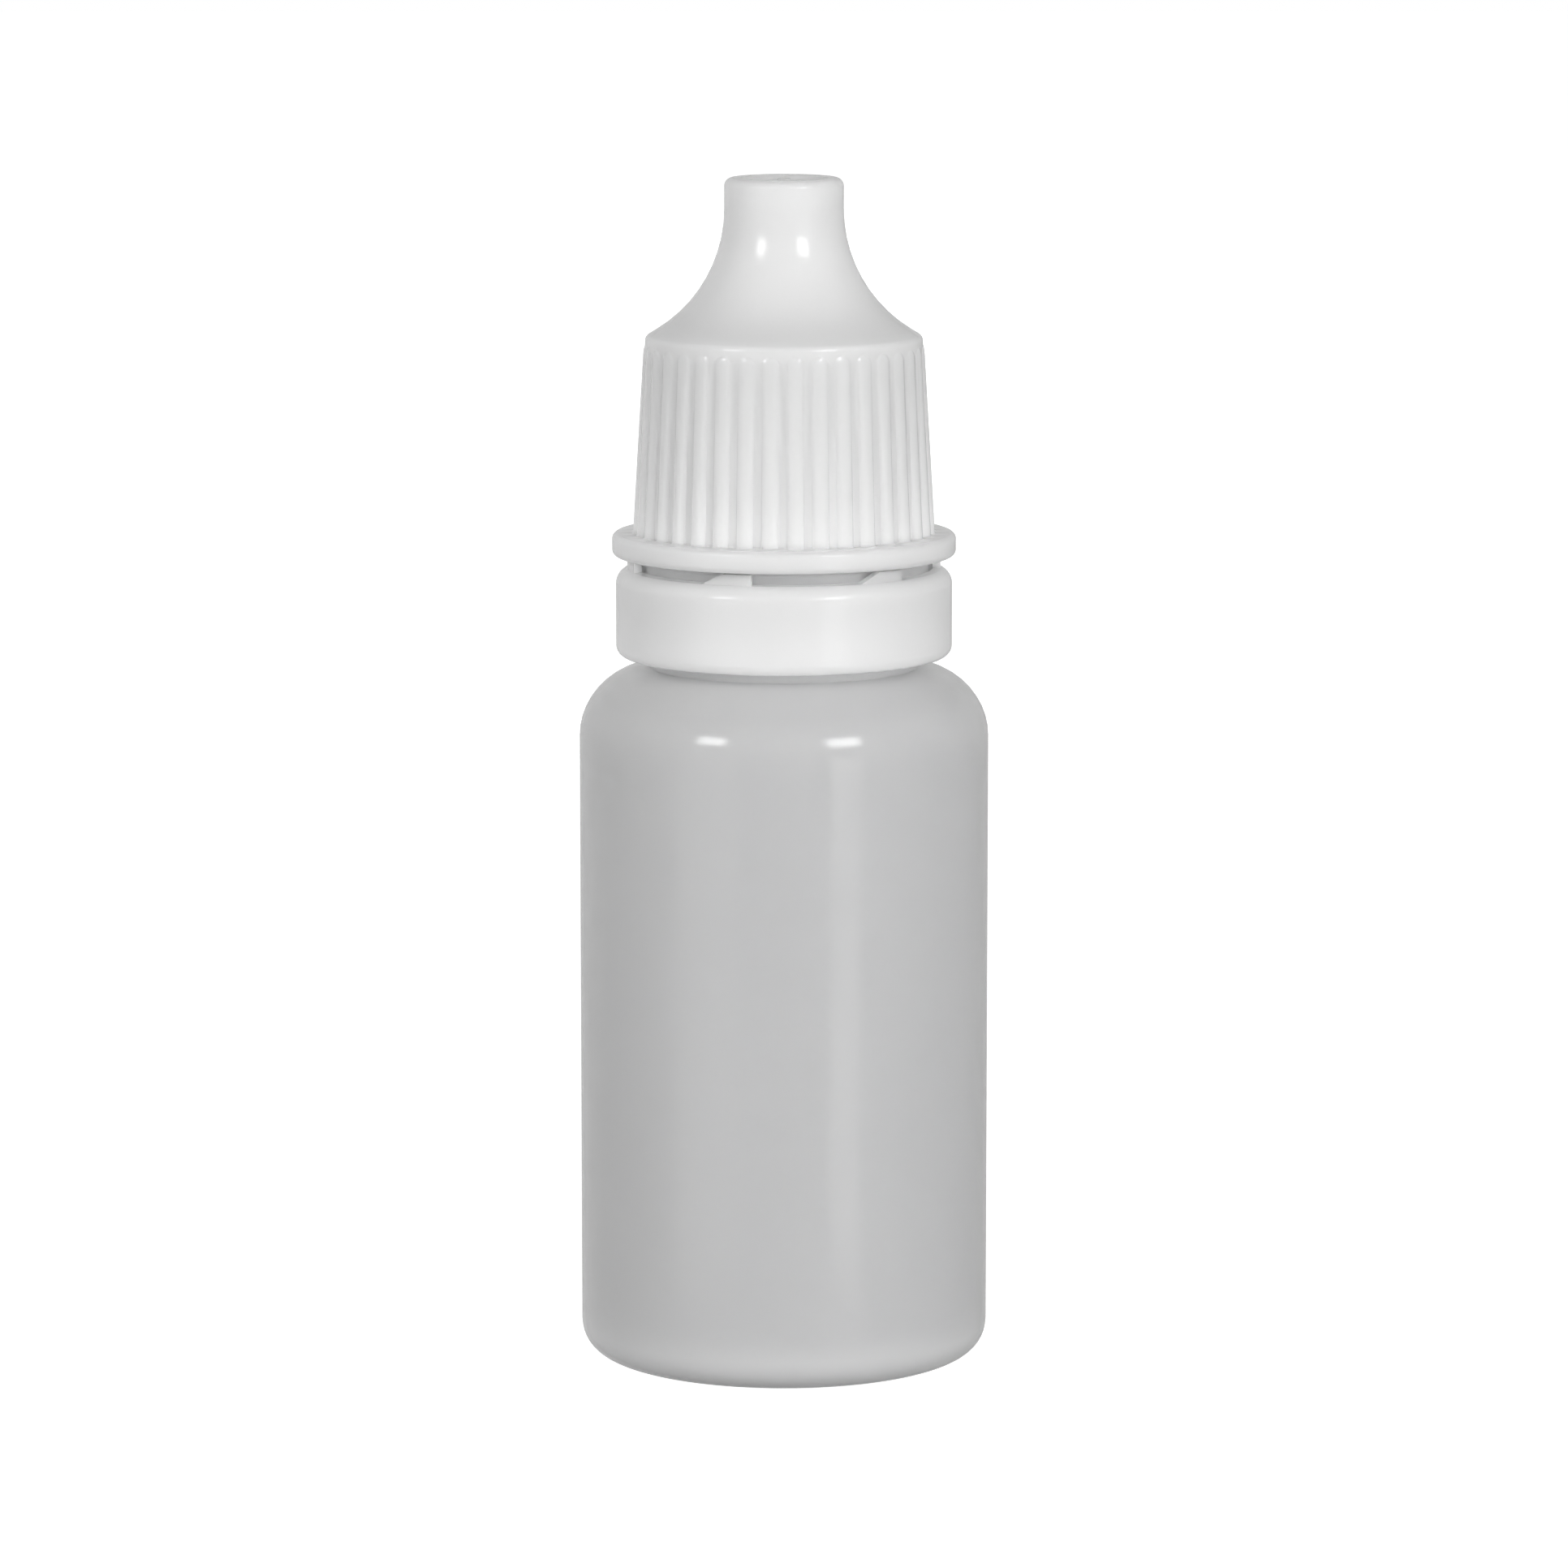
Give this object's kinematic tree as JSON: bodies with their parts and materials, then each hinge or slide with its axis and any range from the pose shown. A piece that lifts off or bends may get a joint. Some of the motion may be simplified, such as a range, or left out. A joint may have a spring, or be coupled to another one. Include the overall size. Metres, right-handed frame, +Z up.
{
  "type": "eye drop bottle",
  "caption": "Small round squeeze bottle with a pressed-in dropper tip, a ribbed screw cap over a tall nozzle cover, and a separate tamper ring on the neck.",
  "frame": {"origin": "centre of the face that the bottle stands on", "axes": "+Z up along the bottle's axis, towards the cap; -Y is the side that the picture shows"},
  "size_m": [0.0204, 0.0204, 0.0591],
  "materials": {
    "milky_plastic": "milky, slightly translucent blow-moulded low-density polyethylene with a soft sheen",
    "tip_plastic": "natural low-density polyethylene, soft sheen",
    "cap_plastic": "white moulded polypropylene with a satin gloss"
  },
  "bodies": {
    "bottle_body": {"bottle": "milky_plastic", "dropper_tip": "tip_plastic"},
    "ring_body": {"tamper_ring": "cap_plastic"},
    "cap_body": {"cap": "cap_plastic"}
  },
  "joints": [
    {"name": "ring_turn", "type": "hinge", "parent": "bottle_body", "child": "ring_body", "pos_m": [0, 0, 0.0376], "axis": [0, 0, 1], "range_deg": [0, 540]},
    {"name": "cap_lift", "type": "slide", "parent": "ring_body", "child": "cap_body", "axis": [0, 0, 1], "range_m": [0, 0.0036]}
  ],
  "couplings": [
    {"joint": "ring_turn", "follows": "cap_lift", "rad_per_m": 2618}
  ]
}
